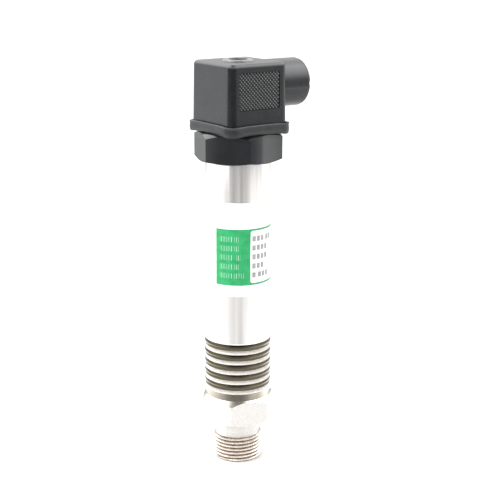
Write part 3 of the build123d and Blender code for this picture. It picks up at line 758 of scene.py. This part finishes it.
def green_columns():
    """The green field, and past it the lines above and below the white values field."""
    middle = (GREEN_BOTTOM + GREEN_TOP) / 2
    count = math.ceil((GREEN_END - GREEN_START) / PRINT_STEP)
    angles = [GREEN_START + number * PRINT_STEP for number in range(count)] + [GREEN_END]
    columns = [(angle, [(GREEN_BOTTOM, middle), (middle, GREEN_TOP)]) for angle in angles]
    corner = arc_angle(FIELD_CORNER)
    field_low = GREEN_BOTTOM + FRAME_LINE
    field_high = GREEN_TOP - FRAME_LINE
    for number in range(1, FIELD_CORNER_STEPS + 1):
        share = number / FIELD_CORNER_STEPS
        rise = FIELD_CORNER * (1 - math.sqrt(1 - (1 - share) ** 2))
        angle = GREEN_END + corner * share
        columns.append((angle, [(GREEN_BOTTOM, field_low + rise), (field_high - rise, GREEN_TOP)]))
    angle = GREEN_END + corner
    while angle < FIELD_END:
        angle = min(angle + PRINT_STEP, FIELD_END)
        columns.append((angle, [(GREEN_BOTTOM, field_low), (field_high, GREEN_TOP)]))
    return columns


def block_row(name, start, level, words, finish):
    """A row of small bars in place of printed words."""
    offset = 0.0
    serial = 0
    for count in words:
        for _ in range(count):
            first = start + arc_angle(offset)
            last = start + arc_angle(offset + BLOCK_WIDTH)
            span = [(level - ROW_HEIGHT / 2, level + ROW_HEIGHT / 2)]
            columns = [(first, span), ((first + last) / 2, span), (last, span)]
            wrapped_plate(f"{name}_{serial}", columns, finish)
            offset += BLOCK_PITCH
            serial += 1
        offset += WORD_GAP


wrapped_plate("label_green_print", green_columns(), "green_print")
for row, (word_blocks, value_blocks) in enumerate(zip(WORD_BLOCKS, VALUE_BLOCKS)):
    level = ROW_TOP - row * ROW_PITCH
    block_row(f"label_word_{row}", WORD_START, level, word_blocks, "white_print")
    block_row(f"label_value_{row}", VALUE_START, level, value_blocks, "grey_print")


# Gasket


def rounded_outline(back, front, half, corner):
    """Points round a rectangle with round corners, as many on each side whatever its size."""
    centres = [
        (front - corner, half - corner),
        (corner - back, half - corner),
        (corner - back, corner - half),
        (front - corner, corner - half),
    ]
    points = []
    for number, (x, y) in enumerate(centres):
        for step in range(CORNER_STEPS + 1):
            angle = math.radians(90 * (number + step / CORNER_STEPS))
            points.append((x + corner * math.cos(angle), y + corner * math.sin(angle)))
        start = points[-1]
        next_x, next_y = centres[(number + 1) % 4]
        angle = math.radians(90 * (number + 1))
        end = (next_x + corner * math.cos(angle), next_y + corner * math.sin(angle))
        for step in range(1, SIDE_STEPS):
            share = step / SIDE_STEPS
            points.append((start[0] + (end[0] - start[0]) * share, start[1] + (end[1] - start[1]) * share))
    return points


def corner_share(x, y):
    """0 over the hexagon's round face, rising to 1 at the far corner of the gasket."""
    reach = math.hypot(HOUSING_FRONT, HOUSING_HALF) + GASKET_MARGIN
    return max(0.0, math.hypot(x, y) - LEVEL_RADIUS) / (reach - LEVEL_RADIUS)


def gasket_outline(outward):
    """The gasket's outline at a distance out from the plug's side, or at the edge of its opening."""
    if outward is None:
        return rounded_outline(GASKET_OPENING, GASKET_OPENING, GASKET_OPENING, OPENING_CORNER)
    corner = max(HOUSING_CORNER + outward, LEAST_CORNER)
    return rounded_outline(HOUSING_BACK + outward, HOUSING_FRONT + outward, HOUSING_HALF + outward, corner)


def make_gasket():
    """The soft square seal: a full band with a thin lip, bending down at its corners."""
    points = []
    for outward, rise, lip in GASKET_SECTION:
        for x, y in gasket_outline(outward):
            share = corner_share(x, y)
            droop = share ** 2 * (BAND_DROOP - LIP_HOLD * lip)
            curl = CORNER_CURLS[x > 0, y > 0] * lip * max(0.0, share - CURL_START) / (1 - CURL_START)
            points.append(Vector((x, y, GASKET_BOTTOM + rise - droop + curl)) * MM)
    sections = len(GASKET_SECTION)
    count = len(points) // sections
    faces = []
    for number in range(sections):
        bridge(faces, number * count, (number + 1) % sections * count, count)
    mesh = mesh_from("profile_gasket_soft", points, faces, sharp_angle=60.0)
    mesh.materials.append(materials["gasket_rubber"])
    piece = new_object("profile_gasket_soft", mesh, "root")
    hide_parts("profile_gasket")


make_gasket()


# Knurled grips


def make_knurl(name, side):
    """A field of small pyramids on the floor of a grip recess, cut off at its edges."""
    builder = bmesh.new()
    half_cell = KNURL_PITCH / math.sqrt(2)
    half_width = GRIP_WIDTH / 2 - KNURL_BORDER
    half_height = GRIP_HEIGHT / 2 - KNURL_BORDER
    columns = math.ceil(half_width / half_cell) + 1
    rows = math.ceil(half_height / half_cell) + 1
    corners = ((1, 0), (0, 1), (-1, 0), (0, -1))
    for column in range(-columns, columns + 1):
        for row in range(-rows, rows + 1):
            if (column + row) % 2:
                continue
            x = column * half_cell
            z = row * half_cell
            base = [builder.verts.new((x + dx * half_cell, 0, z + dz * half_cell)) for dx, dz in corners]
            top = [
                builder.verts.new((x + dx * KNURL_LAND, KNURL_HEIGHT, z + dz * KNURL_LAND))
                for dx, dz in corners
            ]
            builder.faces.new(top)
            for number in range(4):
                following = (number + 1) % 4
                builder.faces.new((base[number], base[following], top[following], top[number]))
    bmesh.ops.remove_doubles(builder, verts=builder.verts, dist=KNURL_WELD)
    cuts = (
        ((half_width, 0, 0), (1, 0, 0)),
        ((-half_width, 0, 0), (-1, 0, 0)),
        ((0, 0, half_height), (0, 0, 1)),
        ((0, 0, -half_height), (0, 0, -1)),
    )
    for place, normal in cuts:
        everything = builder.verts[:] + builder.edges[:] + builder.faces[:]
        bmesh.ops.bisect_plane(builder, geom=everything, plane_co=place, plane_no=normal, clear_outer=True)
    rim = [edge for edge in builder.edges if edge.is_boundary]
    skirt = bmesh.ops.extrude_edge_only(builder, edges=rim)
    for item in skirt["geom"]:
        if isinstance(item, bmesh.types.BMVert):
            item.co.y = -KNURL_LIFT
    bottom = [edge for edge in builder.edges if edge.is_boundary]
    bmesh.ops.holes_fill(builder, edges=bottom, sides=0)
    for vertex in builder.verts:
        depth = side * (GRIP_FLOOR + KNURL_LIFT + vertex.co.y)
        vertex.co = Vector((GRIP_MIDDLE + vertex.co.x, depth, GRIP_LEVEL + vertex.co.z)) * MM
    bmesh.ops.recalc_face_normals(builder, faces=builder.faces)
    mesh = bpy.data.meshes.new(name)
    builder.to_mesh(mesh)
    builder.free()
    mesh.materials.append(materials["knurl_plastic_painted_light"])
    piece = new_object(name, mesh, "plug")


make_knurl("grip_knurl_front", -1)
make_knurl("grip_knurl_back", 1)


# Ring seals and the cable grommet


def soft_ring(name, node_name, slot, body, inner, outer, bottom, height, exponent=0.55, axis_x=False):
    """A squeezed ring seal with a rounded section, about Z or laid along X at the barrel's level."""
    around = 96
    section_steps = 28
    points = []
    faces = []
    for step in range(section_steps):
        angle = 2 * math.pi * step / section_steps
        across = math.copysign(abs(math.cos(angle)) ** exponent, math.cos(angle))
        along = math.copysign(abs(math.sin(angle)) ** exponent, math.sin(angle))
        radius = (inner + outer) / 2 + across * (outer - inner) / 2
        level = bottom + height / 2 + along * height / 2
        for number in range(around):
            point = polar(radius, 360 * number / around, level)
            if axis_x:
                point = Vector((point.z, point.y, BARREL_LEVEL * MM - point.x))
            points.append(point)
    for step in range(section_steps):
        bridge(faces, step * around, (step + 1) % section_steps * around, around)
    mesh = mesh_from(name, points, faces, sharp_angle=80.0)
    mesh.materials.append(materials[slot])
    piece = new_object(name, mesh, body)
    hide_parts(node_name)


soft_ring(
    "sensor_seal_soft", "sensor_seal", "seal_rubber", "root", inner=8.2, outer=9.6, bottom=60.0, height=2.4
)
soft_ring(
    "base_seal_soft", "base_seal", "seal_rubber", "root", inner=10.15, outer=11.5, bottom=121.4, height=2.4
)
soft_ring(
    "screw_seal_soft", "screw_seal", "seal_rubber", "plug", inner=1.6, outer=3.4, bottom=158.1, height=0.9
)
soft_ring(
    "cable_grommet_soft", "cable_grommet", "gasket_rubber", "plug", inner=3.6, outer=7.4, bottom=15.7,
    height=4.0, exponent=0.35, axis_x=True
)


# Floor, light and camera


def make_floor():
    """A wide pale floor."""
    builder = bmesh.new()
    bmesh.ops.create_circle(builder, cap_ends=True, segments=96, radius=FLOOR_RADIUS)
    mesh = bpy.data.meshes.new("floor")
    builder.to_mesh(mesh)
    builder.free()
    floor = bpy.data.objects.new("floor", mesh)
    bpy.context.scene.collection.objects.link(floor)
    mesh.materials.append(materials["floor_paint"])
    floor.visible_glossy = False


def level_of(degrees):
    """The height of a direction at an angle above the horizon."""
    return math.sin(math.radians(degrees))


def tones_round(tree, share, tones, first=-180.0, last=180.0):
    """Tones round the horizon, or round the part of it that the share covers."""
    ramp = node(tree, "ShaderNodeValToRGB")
    tree.links.new(share, ramp.inputs["Fac"])
    while len(ramp.color_ramp.elements) < len(tones):
        ramp.color_ramp.elements.new(0.5)
    for stop, (angle, tone) in zip(ramp.color_ramp.elements, tones):
        stop.position = (angle - first) / (last - first)
        stop.color = (tone, tone, tone, 1.0)
    return ramp.outputs["Color"]


def make_world():
    """A bright tent of light, with darker and brighter bands in it that only gloss shows."""
    world = bpy.data.worlds.new("studio")
    bpy.context.scene.world = world
    world.use_nodes = True
    tree = world.node_tree
    background = tree.nodes["Background"]
    place = node(tree, "ShaderNodeTexCoord")
    turned = node(tree, "ShaderNodeMapping", vector_type="VECTOR")
    turned.inputs["Rotation"].default_value = (0, 0, math.radians(180 - CAMERA_HEADING))
    tree.links.new(place.outputs["Generated"], turned.inputs["Vector"])
    parts = node(tree, "ShaderNodeSeparateXYZ")
    tree.links.new(turned.outputs["Vector"], parts.inputs["Vector"])
    height = parts.outputs["Z"]
    direction = node(tree, "ShaderNodeMath", operation="ARCTAN2")
    tree.links.new(parts.outputs["Y"], direction.inputs[0])
    tree.links.new(parts.outputs["X"], direction.inputs[1])
    heading = direction.outputs["Value"]
    share = between(tree, heading, 0.0, 1.0, -math.pi, math.pi)

    facet_start = math.radians(FACET_START)
    facet_end = math.radians(FACET_END)
    fade = math.radians(FACET_FADE)
    facet_share = between(tree, heading, 0.0, 1.0, facet_start, facet_end)
    facet_tones = tones_round(tree, facet_share, FACET_TONES, FACET_START, FACET_END)
    on_facet = node(tree, "ShaderNodeMath", operation="MULTIPLY")
    tree.links.new(between(tree, heading, 0.0, 1.0, facet_start, facet_start + fade), on_facet.inputs[0])
    tree.links.new(between(tree, heading, 1.0, 0.0, facet_end - fade, facet_end), on_facet.inputs[1])

    def risen(start, end):
        """0 below the first height, in degrees, and 1 above the second."""
        return between(tree, height, 0.0, 1.0, level_of(start), level_of(end))

    tone = blend_colours(tree, risen(*SLOPE_BAND), (FLOOR_TONE,) * 3, (SLOPE_TONE,) * 3)
    for start, end, tones in BANDS:
        around = tones_round(tree, share, tones)
        if tones is HEXAGON_TONES:
            around = blend_colours(tree, on_facet.outputs["Value"], around, facet_tones)
        tone = blend_colours(tree, risen(start, end), tone, around)
    tone = blend_colours(tree, risen(*ZENITH_BAND), tone, (ZENITH_TONE,) * 3)
    paths = node(tree, "ShaderNodeLightPath")
    seen = blend_colours(tree, paths.outputs["Is Glossy Ray"], (1.0, 1.0, 1.0), tone)
    tree.links.new(seen, background.inputs["Color"])
    background.inputs["Strength"].default_value = STUDIO_STRENGTH


def make_light(name, place, target, size, power):
    """A soft box that faces a target, all in metres."""
    light = bpy.data.lights.new(name, "AREA")
    light.shape = "SQUARE"
    light.size = size
    light.energy = power
    lamp = bpy.data.objects.new(name, light)
    lamp.location = place
    lamp.rotation_euler = (Vector(target) - Vector(place)).to_track_quat("-Z", "Y").to_euler()
    lamp.visible_glossy = False
    bpy.context.scene.collection.objects.link(lamp)


def make_camera():
    """The camera where the photograph was taken from."""
    heading = math.radians(CAMERA_HEADING)
    pitch = math.radians(CAMERA_PITCH)
    level = math.cos(pitch)
    ahead = Vector((math.cos(heading) * level, math.sin(heading) * level, math.sin(pitch)))
    right = ahead.cross(Vector((0, 0, 1))).normalized()
    up = right.cross(ahead)
    matrix = Matrix((right, up, -ahead)).transposed().to_4x4()
    matrix.translation = Vector(CAMERA_PLACE)
    data = bpy.data.cameras.new("camera")
    data.lens = CAMERA_LENS
    data.sensor_width = CAMERA_SENSOR
    camera = bpy.data.objects.new("camera", data)
    camera.matrix_world = matrix @ Matrix.Rotation(math.radians(CAMERA_ROLL), 4, "Z")
    bpy.context.scene.collection.objects.link(camera)
    bpy.context.scene.camera = camera


make_floor()
make_world()
make_light("top_box", place=(-0.1, 0.1, 0.9), target=(0, 0, 0.08), size=0.7, power=6.0)
make_light("left_box", place=(-0.75, 0.15, 0.5), target=(0, 0, 0.1), size=0.6, power=3.0)
make_camera()
bpy.context.scene.view_settings.view_transform = "Standard"
